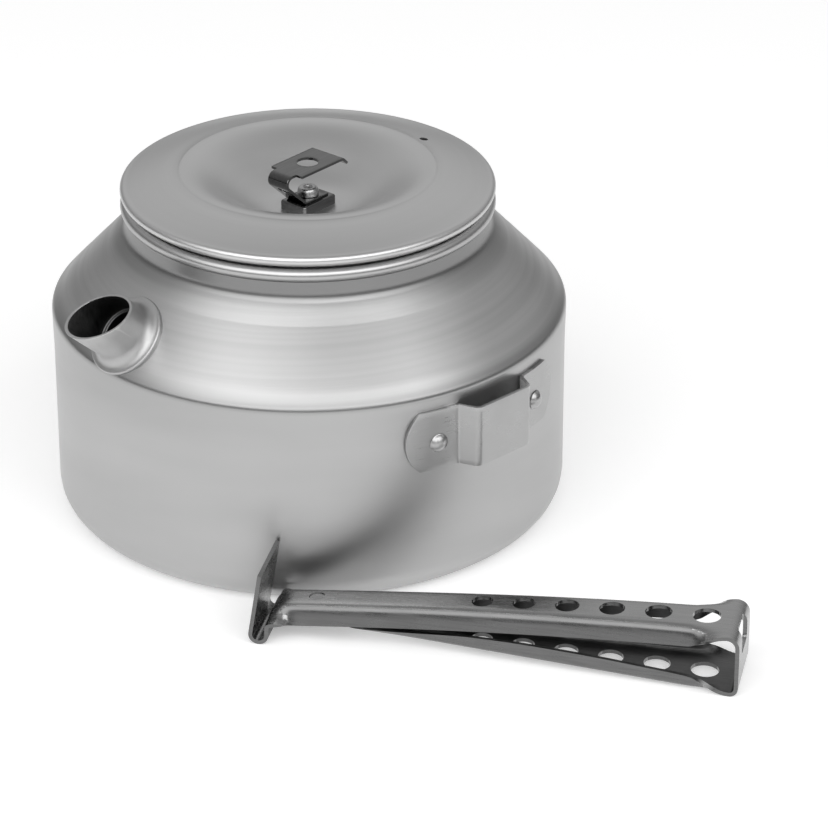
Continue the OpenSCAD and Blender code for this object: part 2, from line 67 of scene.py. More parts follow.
def ranged(tree, value, from_min, from_max, to_min, to_max):
    """The value carried over from one range to another, and held within it."""
    node = tree.nodes.new("ShaderNodeMapRange")
    for socket, number in (("Value", value), ("From Min", from_min), ("From Max", from_max),
                           ("To Min", to_min), ("To Max", to_max)):
        feed(tree, node.inputs[socket], number)
    return node.outputs["Result"]


bpy.ops.mesh.primitive_plane_add(size=8, location=(0, 0, 0))
floor = bpy.context.object
floor.name = "floor"
floor_paint = bpy.data.materials.new("floor_paint")
floor_paint.use_nodes = True
tree = floor_paint.node_tree
floor_shader = tree.nodes["Principled BSDF"]
floor_shader.inputs["Base Color"].default_value = (0.82, 0.82, 0.82, 1)
floor_shader.inputs["Roughness"].default_value = 0.9
floor_shader.inputs["Specular IOR Level"].default_value = 0.1
floor_shader.inputs["Emission Color"].default_value = (1, 1, 1, 1)
floor_lift = 0.34
ray = tree.nodes.new("ShaderNodeLightPath")
seen = ray.outputs["Is Camera Ray"]
for kind in ("Is Glossy Ray", "Is Transmission Ray"):
    seen = maths(tree, "MAXIMUM", seen, ray.outputs[kind])
feed(tree, floor_shader.inputs["Emission Strength"], maths(tree, "MULTIPLY", seen, floor_lift))
floor.data.materials.append(floor_paint)

room = bpy.data.worlds.new("room")
bpy.context.scene.world = room
room.use_nodes = True
tree = room.node_tree
room_light = tree.nodes["Background"]
split = tree.nodes.new("ShaderNodeSeparateXYZ")
feed(tree, split.inputs[0], tree.nodes.new("ShaderNodeTexCoord").outputs["Generated"])
level = tree.nodes.new("ShaderNodeValToRGB")
stops = level.color_ramp.elements
stops.remove(stops[1])
for height, grey in ((0, 0.17), (0.14, 0.27), (0.36, 0.62), (0.54, 0.7), (0.78, 0.78)):
    stop = stops.new(height) if height else stops[0]
    stop.color = (grey, grey, grey, 1)
feed(tree, level.inputs["Fac"], split.outputs["Z"])
feed(tree, room_light.inputs["Color"], level.outputs["Color"])
side_level, ahead_level = 0.5, 1.1
ahead = maths(tree, "MULTIPLY", split.outputs["Y"], split.outputs["Y"])
feed(tree, room_light.inputs["Strength"], ranged(tree, ahead, 0, 0.8, side_level, ahead_level))

# Studio lamps: two wide soft boxes above and in front, one on each side of the camera and behind it.
aim = Vector((0, 0, 0.06))
for name, place, size, power in (
    ("soft_box_left", (-0.63, -1.22, 1.32), (2.4, 1.5), 21),
    ("soft_box_right", (1.03, -0.98, 1.27), (1.5, 1.2), 10.5),
):
    turn = (aim - Vector(place)).to_track_quat("-Z", "Y").to_euler()
    bpy.ops.object.light_add(type="AREA", location=place, rotation=turn)
    lamp = bpy.context.object
    lamp.name = name
    lamp.data.shape = "RECTANGLE"
    lamp.data.size, lamp.data.size_y = size
    lamp.data.energy = power

# Kettle body: one spun aluminium vessel, shown by its sheet's two faces and the bead rolled round its
# mouth. It is turned on a lathe, so fine rings run round its shoulder and its wall has a satin finish.
mm = 0.001


def fresh():
    """Deselects everything, so that the next operator acts on its own piece alone."""
    if bpy.context.object and bpy.context.object.mode == "EDIT":
        bpy.ops.object.mode_set(mode="OBJECT")
    bpy.ops.object.select_all(action="DESELECT")


def eased(path, steps=6):
    """Plain points along a side path, with each corner (a, b, radius) rounded off."""
    points = []
    for i, (a, b, radius) in enumerate(path):
        here = Vector((a, b))
        if not radius:
            points.append(here)
            continue
        back = (Vector(path[i - 1][:2]) - here).normalized()
        on = (Vector(path[i + 1][:2]) - here).normalized()
        half = back.angle(on) / 2
        centre = here + (back + on).normalized() * radius / math.sin(half)
        first = here + back * radius / math.tan(half) - centre
        last = here + on * radius / math.tan(half) - centre
        start = math.atan2(first.y, first.x)
        sweep = (math.atan2(last.y, last.x) - start + math.pi) % math.tau - math.pi
        for k in range(steps + 1):
            angle = start + sweep * k / steps
            points.append(centre + radius * Vector((math.cos(angle), math.sin(angle))))
    return points


def other_face(points, thickness):
    """The same side path on the sheet's other face, to the left of the way it runs, and in reverse."""
    face = []
    for i, here in enumerate(points):
        way = (points[min(i + 1, len(points) - 1)] - points[max(i - 1, 0)]).normalized()
        face.append(here + thickness * Vector((-way.y, way.x)))
    return face[::-1]


def turned(name, rings, sides=192, closed=False):
    """A turned piece: a ring of edges is extruded, moved and resized from step to step."""
    fresh()
    bpy.ops.mesh.primitive_circle_add(vertices=sides, radius=rings[0][0] * mm)
    piece = bpy.context.object
    piece.name = piece.data.name = name
    bpy.ops.object.mode_set(mode="EDIT")
    bpy.ops.mesh.select_mode(type="VERT")
    bpy.ops.transform.translate(value=(0, 0, rings[0][1] * mm))
    for (r0, z0), (r1, z1) in zip(rings, rings[1:]):
        bpy.ops.mesh.extrude_region_move(TRANSFORM_OT_translate={"value": (0, 0, (z1 - z0) * mm)})
        bpy.ops.transform.resize(value=(r1 / r0, r1 / r0, 1), center_override=(0, 0, z1 * mm))
    if closed:
        bpy.ops.mesh.select_all(action="SELECT")
        bpy.ops.mesh.remove_doubles(threshold=0.002 * mm)
    else:
        bpy.ops.mesh.edge_face_add()
        bpy.ops.mesh.select_non_manifold()
        bpy.ops.mesh.edge_face_add()
    bpy.ops.mesh.select_all(action="SELECT")
    bpy.ops.mesh.normals_make_consistent(inside=False)
    bpy.ops.object.mode_set(mode="OBJECT")
    return piece


def smooth(piece, degrees=35):
    """Smooth shading that keeps the edges sharper than the given angle."""
    fresh()
    piece.select_set(True)
    bpy.context.view_layer.objects.active = piece
    bpy.ops.object.shade_smooth_by_angle(angle=math.radians(degrees))


def modify(piece, kind, **settings):
    """Adds a modifier to the piece and applies it at once."""
    fresh()
    piece.select_set(True)
    bpy.context.view_layer.objects.active = piece
    bpy.ops.object.modifier_add(type=kind)
    step = piece.modifiers[-1]
    for key, value in settings.items():
        setattr(step, key, value)
    bpy.ops.object.modifier_apply(modifier=step.name)


def cut(piece, cutter):
    """Cuts the cutter's shape out of the piece, and throws the cutter away."""
    modify(piece, "BOOLEAN", operation="DIFFERENCE", solver="EXACT", object=cutter)
    bpy.data.objects.remove(cutter, do_unlink=True)


def put(piece, place):
    """Moves the finished mesh to its place, and leaves the object itself at the origin."""
    piece.data.transform(place)
    piece.data.update()


def vector_maths(tree, operation, *inputs):
    """The result of a vector maths node on its inputs."""
    node = tree.nodes.new("ShaderNodeVectorMath")
    node.operation = operation
    for socket, value in zip(node.inputs, inputs):
        feed(tree, socket, value)
    return node.outputs["Value" if operation == "LENGTH" else "Vector"]


def noise(tree, where, scale, detail, roughness=0.5):
    """Noise over the given coordinates."""
    node = tree.nodes.new("ShaderNodeTexNoise")
    for socket, value in (("Vector", where), ("Scale", scale), ("Detail", detail), ("Roughness", roughness)):
        feed(tree, node.inputs[socket], value)
    return node.outputs["Fac"]


def bare_metal(name):
    """A new metal, with its node tree, its shader and the coordinates of the object."""
    metal = bpy.data.materials.new(name)
    metal.use_nodes = True
    tree = metal.node_tree
    shader = tree.nodes["Principled BSDF"]
    shader.inputs["Metallic"].default_value = 1
    return metal, tree, shader, tree.nodes.new("ShaderNodeTexCoord").outputs["Object"]


def relief(tree, shader, height, strength):
    """Gives the shader a fine relief."""
    node = tree.nodes.new("ShaderNodeBump")
    for socket, value in (("Strength", strength), ("Distance", 0.1 * mm), ("Height", height)):
        feed(tree, node.inputs[socket], value)
    feed(tree, shader.inputs["Normal"], node.outputs[0])


def turned_metal(name, tone, roughness, grain, aniso, streak, bump, painted_shade_bands=()):
    """Spun aluminium: tone, roughness and fine grooves all change in rings round the upright axis. It can
    have bands of painted shade, darker in colour, each with the heights where it begins, is full, fades and
    is over, and its share."""
    metal, tree, shader, where = bare_metal(name)
    split = tree.nodes.new("ShaderNodeSeparateXYZ")
    feed(tree, split.inputs[0], where)
    flat = vector_maths(tree, "MULTIPLY", where, (1, 1, 0))
    heading = vector_maths(tree, "NORMALIZE", flat)
    ring = tree.nodes.new("ShaderNodeCombineXYZ")
    feed(tree, ring.inputs["X"], vector_maths(tree, "LENGTH", flat))
    feed(tree, ring.inputs["Y"], split.outputs["Z"])

    def ring_noise(scale, along, upright=1.0):
        """Noise that is long round the axis and fine across it."""
        across = vector_maths(tree, "MULTIPLY", ring.outputs[0], (scale, scale * upright, 0))
        return noise(tree, vector_maths(tree, "MULTIPLY_ADD", heading, (along, along, along), across), 1, 3)

    broad = ring_noise(grain * 0.14, 0.5, 0.06)
    fine = ring_noise(grain, 1.6)
    shade = ranged(tree, broad, 0, 1, tone - streak, tone + streak)
    # Painted shade: each band darkens the colour between its heights.
    for begins, full, fades, over, share in painted_shade_bands:
        for start, end, part in ((begins, full, share), (fades, over, 1 / share)):
            painted_shade_band = ranged(tree, split.outputs["Z"], start * mm, end * mm, 1, part)
            shade = maths(tree, "MULTIPLY", shade, painted_shade_band)
    feed(tree, shader.inputs["Base Color"], shade)
    mixed = maths(tree, "MULTIPLY_ADD", fine, 0.6, noise(tree, where, 22, 4))
    feed(tree, shader.inputs["Roughness"], ranged(tree, mixed, 0.4, 1.2, roughness - 0.06, roughness + 0.06))
    relief(tree, shader, fine, bump)
    round_axis = tree.nodes.new("ShaderNodeTangent")
    round_axis.direction_type = "RADIAL"
    round_axis.axis = "Z"
    shader.inputs["Anisotropic"].default_value = aniso
    feed(tree, shader.inputs["Tangent"], round_axis.outputs[0])
    return metal


def dress(piece, *metals):
    """Gives the piece its materials in place of any it has."""
    piece.data.materials.clear()
    for metal in metals:
        piece.data.materials.append(metal)


def moved(x, y, z):
    """A place moved by so many millimetres."""
    return Matrix.Translation((x * mm, y * mm, z * mm))


def spun(degrees, axis="Z"):
    """A place turned round an axis."""
    return Matrix.Rotation(math.radians(degrees), 4, axis)


# The shoulder has three faint steps, which the spinning tool has left in its slope.
body_r, wall_top, neck_r, neck_foot, neck_top, body_t = 90.0, 74.5, 63.3, 102.93, 113.5, 1.1
body_outside = eased([
    (1.5, 0.5, 0), (70, 0.5, 3), (74, 0, 3), (body_r - 0.2, 0, 9.6), (body_r - 0.25, 60, 30),
    (body_r, 70.5, 6), (body_r, wall_top, 3.4),
    (84.5, 80.45, 0), (84.2, 80.7, 0), (77.3, 88.1, 0), (77.0, 88.35, 0), (70.2, 95.6, 0), (69.9, 95.85, 0),
    (neck_r + 3.4, neck_foot - 3.18, 0), (neck_r + 0.05, neck_foot, 5), (neck_r, 107, 0), (neck_r, 108.75, 0),
])
bead_r, bead_out = 2.45, 1.75
bead_at = Vector((neck_r + bead_out - bead_r, neck_top - bead_r))
bead = [bead_at + bead_r * Vector((math.cos(math.radians(a)), math.sin(math.radians(a))))
        for a in range(-68, 101, 12)]
body_inside = eased([
    (neck_r - body_t, neck_top - 1.2, 0), (neck_r - body_t, neck_foot + 0.3, 1),
    (body_r - body_t, wall_top - 0.4, 3), (body_r - body_t, body_t, 8.5), (1.5, body_t + 0.3, 0),
])
body = turned("kettle_vessel", [(p.x, p.y) for p in body_outside + bead + body_inside])

spout_turn, spout_hole_r, spout_seat_r, shoulder_lean = -48.3, 9.1, 80.6, 46.8
spout_seat_z = wall_top + (body_r - spout_seat_r) * math.tan(math.radians(shoulder_lean))
spout_place = spun(spout_turn) @ moved(0, -spout_seat_r, spout_seat_z) @ spun(shoulder_lean, "X")
bracket_turn, rivet_arc, rivet_z, shank_hole_r = 44.1, 14.586, 57.2, 2.03
rivet_places = [
    spun(bracket_turn + side * rivet_arc) @ moved(0, -body_r, rivet_z) @ spun(90, "X") for side in (-1, 1)
]


def drill(piece, place, radius, depth, sides=48):
    """Drills a round hole through the piece, along the Z axis of the given place."""
    fresh()
    bpy.ops.mesh.primitive_cylinder_add(vertices=sides, radius=radius * mm, depth=depth * mm)
    bit = bpy.context.object
    put(bit, place)
    cut(piece, bit)


drill(body, spout_place, spout_hole_r, 24, 96)
for place in rivet_places:
    drill(body, place, shank_hole_r, 8)
smooth(body, 30)
# Painted shade: darker bands in the colour at the shoulder's lower edge and round the neck below the bead.
shoulder_edge_painted_shade, neck_painted_shade = (72.6, 74.6, 75.6, 78.4, 0.72), (96, 103.6, 108.5, 109.2, 0.52)
dress(body, turned_metal("spun_aluminium", 0.46, 0.36, 2600, 0.6, streak=0.11, bump=0.08,
                         painted_shade_bands=(shoulder_edge_painted_shade, neck_painted_shade)))
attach(body, "kettle")
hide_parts("kettle_body")

# Spout: a short tube of aluminium, flared out into a rounded foot where it seats on the shoulder, with
# a narrower sleeve through the wall. Its mouth is sawn nearly level, and the rim is broken smooth.
def pressed_metal(name, tone, roughness, stretch, turn=0, streak=0.02, bump=0.02, edge=0.0):
    """Pressed or drawn sheet: a grain that is long in one direction, soft handling marks, and edges made
    lighter where pointed, part wear and part painted highlight.
    """
    metal, tree, shader, where = bare_metal(name)
    along = tree.nodes.new("ShaderNodeMapping")
    along.vector_type = "TEXTURE"
    along.inputs["Rotation"].default_value = (0, 0, math.radians(turn))
    along.inputs["Scale"].default_value = tuple(length * mm for length in stretch)
    feed(tree, along.inputs["Vector"], where)
    grain = noise(tree, along.outputs[0], 1, 4)
    marks = noise(tree, where, 95, 5, 0.6)
    pointed = tree.nodes.new("ShaderNodeNewGeometry").outputs["Pointiness"]
    # Part wear, part painted highlight: the colour is lighter on pointed edges.
    wear_and_highlight = ranged(tree, pointed, 0.52, 0.6, 0, edge)
    drawn = ranged(tree, grain, 0.3, 0.7, tone - streak, tone + streak)
    feed(tree, shader.inputs["Base Color"], maths(tree, "ADD", drawn, wear_and_highlight))
    both = maths(tree, "ADD", grain, marks)
    feed(tree, shader.inputs["Roughness"], ranged(tree, both, 0.7, 1.3, roughness * 0.75, roughness * 1.3))
    relief(tree, shader, grain, bump)
    return metal


def arc(a, b, ra, rb, start, end, steps):
    """Plain points along an arc round (a, b), from one angle to another in degrees."""
    angles = [math.radians(start + (end - start) * k / steps) for k in range(steps + 1)]
    return [(a + ra * math.cos(t), b + rb * math.sin(t)) for t in angles]


spout_t, spout_bore, foot_r, mouth_at, mouth_tilt = 0.95, 9.9, 14.5, 15.7, math.radians(29.5)
spout_side = (
    [(9.07, -3.2), (9.07, -1.05), (foot_r - 0.05, -1.05)]
    + arc(foot_r - 0.65, 0.35, 0.6, 0.6, 0, 90, 5)
    + arc(10.45 + 3.36, 5.15, 3.36, 4.2, 267, 180, 12)
    + [(10.7, 14), (spout_bore + spout_t, 24), (spout_bore, 24), (9.6, 5), (9.5, 2.3)]
    + arc(9.0, 2.1, 0.5, 0.5, 0, -90, 4)
    + arc(8.65, 1.1, 0.5, 0.5, 90, 180, 4)
    + [(8.15, -3.0), (8.35, -3.2), (9.07, -3.2)]
)
spout = turned("spout_tube", spout_side, sides=128, closed=True)
bpy.ops.object.mode_set(mode="EDIT")
bpy.ops.mesh.select_all(action="SELECT")
bpy.ops.mesh.bisect(plane_co=(0, 0, mouth_at * mm), clear_outer=True,
                    plane_no=(0, math.sin(mouth_tilt), math.cos(mouth_tilt)))
bpy.ops.mesh.bridge_edge_loops()
bpy.ops.object.mode_set(mode="OBJECT")
modify(spout, "BEVEL", width=0.26 * mm, segments=3, limit_method="ANGLE", angle_limit=math.radians(60))
put(spout, spout_place)
smooth(spout, 40)
spout_finish = pressed_metal("drawn_aluminium", 0.47, 0.45, (0.4, 0.4, 5), spout_turn, bump=0.01, edge=0.1)
spout_bore_painted_shade = pressed_metal("aluminium_bore_painted_shade", 0.12, 0.4, (0.5, 0.5, 5), spout_turn)
dress(spout, spout_finish, spout_bore_painted_shade)
# Painted shade: the bore below the mouth gets a dark copy of the aluminium.
spout_back = spout_place.inverted()
for face in spout.data.polygons:
    here = spout_back @ face.center / mm
    if math.hypot(here.x, here.y) < spout_bore - 0.05 and here.z < 14:
        face.material_index = 1
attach(spout, "kettle")
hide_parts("spout")

# Bracket: one strap of bright steel, bent out into a flat plate with a pocket behind it for the handle's
# hook, and curved along the wall at both ends. Its two round-ended ears are riveted to the body.
def sheet(name, rows, thickness):
    """A bent sheet: a grid, each vertex moved to its place on the outer face, then given its thickness."""
    fresh()
    bpy.ops.mesh.primitive_grid_add(x_subdivisions=len(rows[0]) - 1, y_subdivisions=len(rows) - 1, size=1)
    piece = bpy.context.object
    piece.name = piece.data.name = name
    for vertex, point in zip(piece.data.vertices, (point for row in rows for point in row)):
        vertex.co = Vector(point) * mm
    if thickness:
        modify(piece, "SOLIDIFY", thickness=thickness * mm, offset=-1, use_even_offset=True)
    return piece


strap_outer_r, strap_t, strap_z, strap_half_h, ear_r, ear_end = 91.33, 1.3, 58.4, 10.9, 14, 35.5
plate_out, plate_half, foot_arc = 96.9, 12.3, 9.644


def on_strap(angle):
    """A plan point on the strap's outer face along the wall, at an angle in radians from its middle."""
    return strap_outer_r * math.sin(angle), -strap_outer_r * math.cos(angle)


half_plan = eased([
    (0, -plate_out, 0), (4, -plate_out, 0), (8, -plate_out, 0), (plate_half, -plate_out, 3),
    (*on_strap(math.radians(foot_arc)), 1.4), (*on_strap(math.radians(foot_arc + 1)), 0),
], 8)
half_plan = [(x, y, strap_half_h) for x, y in half_plan]
cap_at = ear_end - ear_r
arc_lengths = [16.5 + 13.79 * k / 12 for k in range(1, 13)]
arc_lengths += [cap_at + ear_r * math.cos(math.radians(a)) for a in (46, 40, 34, 28, 22, 16, 10, 4.5)]
for arc_length in arc_lengths:
    half_h = min(strap_half_h, math.sqrt(ear_r ** 2 - max(arc_length - cap_at, 0) ** 2))
    half_plan.append((*on_strap(arc_length / strap_outer_r), half_h))
plan = [(-x, y, h) for x, y, h in half_plan[:0:-1]] + half_plan
bracket = sheet("bracket_strap", [
    [(x, y, strap_z + h * (1 - k / 6)) for k in range(13)] for x, y, h in plan
], 0)
bracket_finish = pressed_metal("bracket_steel_sheet", 0.4, 0.32, (8, 8, 0.3), bracket_turn,
                               streak=0.01, bump=0.006, edge=0.3)
# Painted light: the strap's back face is a paler, half-metallic copy of the steel, so the pocket behind the
# plate looks lit.
bracket_back_painted_light = pressed_metal("bracket_strap_back_painted_light", 0.5, 0.5, (8, 8, 0.3), bracket_turn)
bracket_back_painted_light.node_tree.nodes["Principled BSDF"].inputs["Metallic"].default_value = 0.4
dress(bracket, bracket_finish, bracket_back_painted_light)
modify(bracket, "SOLIDIFY", thickness=strap_t * mm, offset=-1, use_even_offset=True, material_offset=1)
put(bracket, spun(bracket_turn))
for place in rivet_places:
    drill(bracket, place, shank_hole_r, 8)
modify(bracket, "BEVEL", width=0.3 * mm, segments=3, limit_method="ANGLE", angle_limit=math.radians(50))
smooth(bracket, 35)
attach(bracket, "kettle")
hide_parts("bracket")

# Bracket rivets: aluminium, with a high domed head that the rivet set has left a little flat on top. The
# shank goes through strap and wall, and ends in a flat head inside. The second is a copy of the first.
rivet_finish = pressed_metal("rivet_aluminium", 0.42, 0.3, (1.2, 1.2, 1.2), streak=0.05, bump=0.12, edge=0.1)
dome_h, head_r, dome_foot, inner_seat = 2.1, 3.4, 1.36, -1.194
dome_r = (head_r ** 2 + dome_h ** 2) / (2 * dome_h)
dome_start = math.degrees(math.asin((dome_r - dome_h) / dome_r))
rivet_side = (
    [(0.4, inner_seat - 1), (head_r - 0.3, inner_seat - 1), (head_r, inner_seat - 0.7), (head_r, inner_seat)]
    + [(2, inner_seat), (2, dome_foot), (head_r - 0.15, dome_foot), (head_r, dome_foot + 0.12)]
    + arc(0, dome_foot + dome_h - dome_r - 0.04, dome_r, dome_r, dome_start + 4, 74, 9)
    + [(0.8, dome_foot + dome_h - 0.12), (0.3, dome_foot + dome_h - 0.12)]
)
for place, name in zip(rivet_places, ("left", "right")):
    rivet = turned("bracket_rivet_" + name + "_domed", rivet_side, sides=64)
    put(rivet, place)
    smooth(rivet, 40)
    dress(rivet, rivet_finish)
    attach(rivet, "kettle")
    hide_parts("bracket_rivet_" + name)

# Lid: one sheet of aluminium, pressed into a dish for the knob, with a double crease round the dish and a
# curled rim that rests on the neck's bead. A skirt drops into the neck, and a small hole lets out steam.
rest_z, lid_t, crease_r, crease_z = 113.833, 1.1, 44.6, 122.733
curl_at, curl_r, skirt_r = (63.15, 116.583), 1.85, 61.6
dish_z, dish_flat, dish_half_h = 108.533, 11, 7.3
dish_run = crease_r - 1.6 - dish_flat
dish = [(dish_flat + dish_run * k / 24, dish_z + dish_half_h * (1 - math.cos(math.pi * k / 24)))
        for k in range(25)]
rim_slope = [(crease_r + 1.1 + (curl_at[0] - crease_r - 1.1) * f,
              curl_at[1] + curl_r + (crease_z - 0.1 - curl_at[1] - curl_r) * (1 - f ** 1.35))
             for f in (0.12, 0.25, 0.38, 0.5, 0.62, 0.74, 0.86, 0.95)]
lid_top = [Vector(point) for point in (
    [(0.6, dish_z), (5, dish_z)] + dish
    + [(crease_r - 0.75, crease_z + 0.36), (crease_r - 0.3, crease_z + 0.38),
       (crease_r + 0.1, crease_z + 0.18), (crease_r + 0.5, crease_z + 0.02)]
    + rim_slope
    + arc(curl_at[0], curl_at[1], curl_r, curl_r, 90, -78, 14)
    + [(skirt_r + 0.95, rest_z + 0.02), (skirt_r + 0.35, rest_z - 0.2), (skirt_r + 0.06, rest_z - 0.75),
       (skirt_r, rest_z - 1.4), (skirt_r, 105.53)]
)]
lid = turned("lid_pressing", [(p.x, p.y) for p in lid_top + other_face(lid_top, -lid_t)])
vent_turn, vent_out, vent_r = 33.2, 47.9, 1.5
drill(lid, spun(vent_turn) @ moved(vent_out, 0, 121), vent_r, 12)
drill(lid, moved(0, 0, dish_z), shank_hole_r, 8)
smooth(lid, 30)
dress(lid, turned_metal("lid_aluminium_satin", 0.59, 0.38, 2200, 0.3, streak=0.015, bump=0.04))
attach(lid, "lid")
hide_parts("lid")

# Knob base: a shallow tray of thin polished steel, upside down on the floor of the dish. It lifts the grip
# clear of the hot lid, and the knob's rivet clamps it.
def pick(piece, test):
    """Selects the faces whose centre and normal pass the test, in edit mode."""
    fresh()
    piece.select_set(True)
    bpy.context.view_layer.objects.active = piece
    bpy.ops.object.mode_set(mode="EDIT")
    bpy.ops.mesh.select_mode(type="FACE")
    bpy.ops.mesh.select_all(action="DESELECT")
    bpy.ops.object.mode_set(mode="OBJECT")
    for face in piece.data.polygons:
        face.select = test(face.center / mm, face.normal)
    bpy.ops.object.mode_set(mode="EDIT")


knob_turn, knob_t, base_len, base_w, base_h = 49.6, 0.9, 16.2, 11.6, 3.4
knob_place = moved(0, 0, dish_z) @ spun(knob_turn)
fresh()
bpy.ops.mesh.primitive_cube_add(size=mm, location=(0, 0, base_h / 2 * mm), scale=(base_len, base_w, base_h))
bpy.ops.object.transform_apply(location=True, rotation=False, scale=True)
base = bpy.context.object
base.name = base.data.name = "knob_tray"
pick(base, lambda centre, normal: normal.z < -0.5)
bpy.ops.mesh.delete(type="FACE")
bpy.ops.object.mode_set(mode="OBJECT")
modify(base, "BEVEL", width=0.9 * mm, segments=5, limit_method="ANGLE", angle_limit=math.radians(60))
modify(base, "SOLIDIFY", thickness=knob_t * 0.8 * mm, offset=-1, use_even_offset=True)
drill(base, moved(0, 0, base_h), shank_hole_r, 4)
put(base, knob_place)
smooth(base, 40)
knob_finish = pressed_metal("knob_polished_steel", 0.135, 0.1, (12, 0.5, 0.5), knob_turn, edge=0.05)
dress(base, knob_finish)
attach(base, "lid")
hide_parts("knob_base")

# Knob grip: one strip of polished steel, folded into a foot, a sloping web with a hole, and a wider flat
# plate on top with a larger hole. The plate's far edge is turned down as a lip for the finger.
web_half_w, plate_half_w, knob_top, foot_end, fold_at, fold_r = 4.4, 7.15, 16.4, 5.6, (-12.65, 13.55), 2.85
plate_hole_r, web_hole_r, web_hole_at, web_slope = 3.85, 2.1, (-12.35, 9.97), 42.8
grip_side = [(x, z, web_half_w) for x, z in (
    [(foot_end, base_h), (2, base_h)]
    + [tuple(p) for p in eased([(2, base_h, 0), (-5.75, base_h, 1.5), (-14.56, 11.43, 0)], 6)[1:-1]]
    + [(-10, 7.28), (-12.5, 9.56)]
    + arc(fold_at[0], fold_at[1], fold_r, fold_r, 228, 90, 14)
    + [(-10.75, knob_top)]
)]
grip_side += [(x, z, plate_half_w) for x, z in (
    [(-10.62, knob_top), (-9.6, knob_top), (-5, knob_top), (0, knob_top), (5, knob_top)]
    + [tuple(p) for p in eased([(8, knob_top, 0), (10.75, knob_top, 1.5), (12.98, knob_top - 2.23, 0)], 6)]
)]
grip = sheet("knob_grip_strip", [
    [(x, half_w * (1 - k / 6), z) for k in range(13)] for x, z, half_w in grip_side
], knob_t)
drill(grip, moved(0, 0, knob_top), plate_hole_r, 4, 64)
drill(grip, moved(0, 0, base_h), shank_hole_r, 4)
drill(grip, moved(web_hole_at[0], 0, web_hole_at[1]) @ spun(web_slope, "Y"), web_hole_r, 5)
modify(grip, "BEVEL", width=0.15 * mm, segments=2, limit_method="ANGLE", angle_limit=math.radians(50))
put(grip, knob_place)
smooth(grip, 40)
dress(grip, knob_finish)
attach(grip, "lid")
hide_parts("knob_grip")

# Knob rivet: bright aluminium, round, with a hollow in its head. It goes through grip, base and lid, and its
# lower end is set flat under the washer.
head_seat = base_h + knob_t + 0.03
lower_seat = -lid_t - 0.86
knob_rivet = turned("knob_rivet_hollow", (
    [(0.3, lower_seat - 1), (2.8, lower_seat - 1), (3, lower_seat - 0.8), (3, lower_seat), (2, lower_seat),
     (2, head_seat), (3.55, head_seat), (3.7, head_seat + 0.15)]
    + arc(2.7, head_seat + 0.9, 1.0, 2.0, 0, 80, 9)
    + [(1.9, head_seat + 2.85), (1.6, head_seat + 2.75), (1.45, head_seat + 2.4), (1.35, head_seat + 1.9),
       (0.3, head_seat + 1.85)]
), sides=64)
put(knob_rivet, knob_place)
smooth(knob_rivet, 40)
dress(knob_rivet, rivet_finish)
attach(knob_rivet, "lid")
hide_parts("knob_rivet")

# Knob washer: a plain aluminium washer under the lid. It spreads the pull of the rivet's lower end over the
# thin sheet of the dish.
washer_top, washer_low = -1.13, -1.93
washer = turned("knob_washer_plain", [
    (2.05, washer_top), (4.45, washer_top), (4.6, washer_top - 0.12),
    (4.6, washer_low + 0.13), (4.45, washer_low), (2.05, washer_low), (2.05, washer_top),
], sides=64, closed=True)
put(washer, knob_place)
smooth(washer, 40)
dress(washer, rivet_finish)
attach(washer, "lid")
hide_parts("knob_washer")

# Handle: one long strip of polished steel, folded at the far end. Its hook end is a trough with a tall
# tongue, both limbs have edges folded inwards for stiffness, and rows of holes keep it cool in the hand.
handle_t, bend_r, hook_r, tongue_h, tongue_lean, leg_x = 1.35, 3, 2.1, 25.8, 9, 5.55
limb_foot, limb_top, limb_start, far_r, length = 12.4, 22.2, 9.467, 4.4, 164.1
flare, lower_start, lower_end, tip_lift = 17, 32.5, 161.1, 4.3
lower_len = lower_end - lower_start
hook_at = handle_t + hook_r
bend_len = (bend_r - handle_t / 2) * math.pi / 2


def limb_z(x):
    """Height of the upper limb's top: a long rise that levels out towards the far end."""
    part = (x - limb_start) / (length - far_r - limb_start)
    return limb_foot + (limb_top - limb_foot) * (1 - (1 - part) ** 1.6)


def slope(x):
    """Direction of the upper limb's top, in degrees."""
    return math.degrees(math.atan(limb_z(x + 0.5) - limb_z(x - 0.5)))


def between(x, *table):
    """The value at x on a broken line through the table's points."""
    for (x0, v0), (x1, v1) in zip(table, table[1:]):
        if x <= x1:
            return v0 + (v1 - v0) * max(0, (x - x0) / (x1 - x0))
    return table[-1][1]


def half_row(web, fold, flange):
    """Half of the strip's outer face, square across it: a flat web, a bend and a flange."""
    across, down, points = web, handle_t / 2, []
    for j in range(5):
        turn = math.radians(fold * j / 4)
        points.append((across + handle_t / 2 * math.sin(turn), down - handle_t / 2 * math.cos(turn)))
        turn = math.radians(fold * (j + 0.5) / 4)
        across, down = across + bend_len / 4 * math.cos(turn), down + bend_len / 4 * math.sin(turn)
    across, down = across - bend_len / 4 * math.cos(turn), down - bend_len / 4 * math.sin(turn)
    turn = math.radians(fold)
    for part in (0.5, 1):
        points.append((across + part * flange * math.cos(turn) + handle_t / 2 * math.sin(turn),
                       down + part * flange * math.sin(turn) - handle_t / 2 * math.cos(turn)))
    return points


def row(x, z, heading, web, fold, flange):
    """A row of points across the strip's outer face, where its path passes (x, z) in the given direction."""
    half = half_row(web, fold, flange)
    heading = math.radians(heading)
    return [(x + down * math.sin(heading), across, z - down * math.cos(heading))
            for across, down in half[::-1] + [(0, 0)] + [(-across, down) for across, down in half]]


